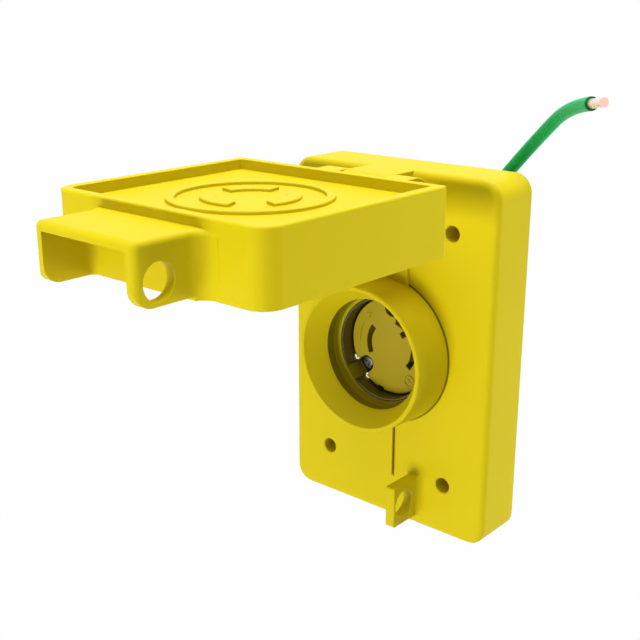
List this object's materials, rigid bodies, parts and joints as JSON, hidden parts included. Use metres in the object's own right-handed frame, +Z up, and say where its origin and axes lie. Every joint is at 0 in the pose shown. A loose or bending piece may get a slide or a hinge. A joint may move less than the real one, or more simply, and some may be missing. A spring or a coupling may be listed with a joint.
{
  "type": "ac power socket with flip lid",
  "caption": "Panel power socket: a round locking receptacle in a deep yellow cover plate with a shroud, a hinged flip lid with padlock hood, and a green ground wire.",
  "frame": {"origin": "middle of the cover plate's back plane, between its four screw holes", "axes": "+X across the plate to the right as the user sees it, +Y into the wall, +Z up"},
  "size_m": [0.1184, 0.158, 0.1546],
  "materials": {
    "cover_plastic": "satin moulded",
    "seal_rubber": "matte",
    "face_plastic": "satin moulded",
    "base_plastic": "matte moulded",
    "plated_band": "plated",
    "plated_steel": "zinc plated",
    "pin_steel": "satin",
    "brass": "satin",
    "nickel": "nickel plated",
    "green_screw": "green plated",
    "wire_insulation": "smooth",
    "copper": "drawn copper"
  },
  "bodies": {
    "base": {"housing": "cover_plastic", "hinge_pin": "pin_steel", "receptacle_face": "face_plastic", "face_band": "plated_band", "receptacle_base": "base_plastic", "receptacle_seal": "seal_rubber", "mounting_strap": "plated_steel", "strap_screw_left": "plated_steel", "strap_screw_right": "plated_steel", "ground_wire": "wire_insulation", "wire_tip": "copper", "wire_root": "copper", "face_screw_top": "plated_steel", "face_screw_lower": "plated_steel", "contact_line": "brass", "contact_neutral": "brass", "contact_ground": "brass", "clamp_plate_line": "plated_steel", "clamp_plate_neutral": "plated_steel", "clamp_plate_ground": "plated_steel", "terminal_screw_line": "brass", "terminal_screw_neutral": "nickel", "terminal_screw_ground": "green_screw"},
    "lid": {"lid": "cover_plastic", "lid_seal": "seal_rubber"}
  },
  "joints": [
    {"name": "lid_hinge", "type": "hinge", "parent": "base", "child": "lid", "pos_m": [0, -0.03015, 0.05475], "axis": [1, 0, 0], "range_deg": [0, 90]}
  ]
}
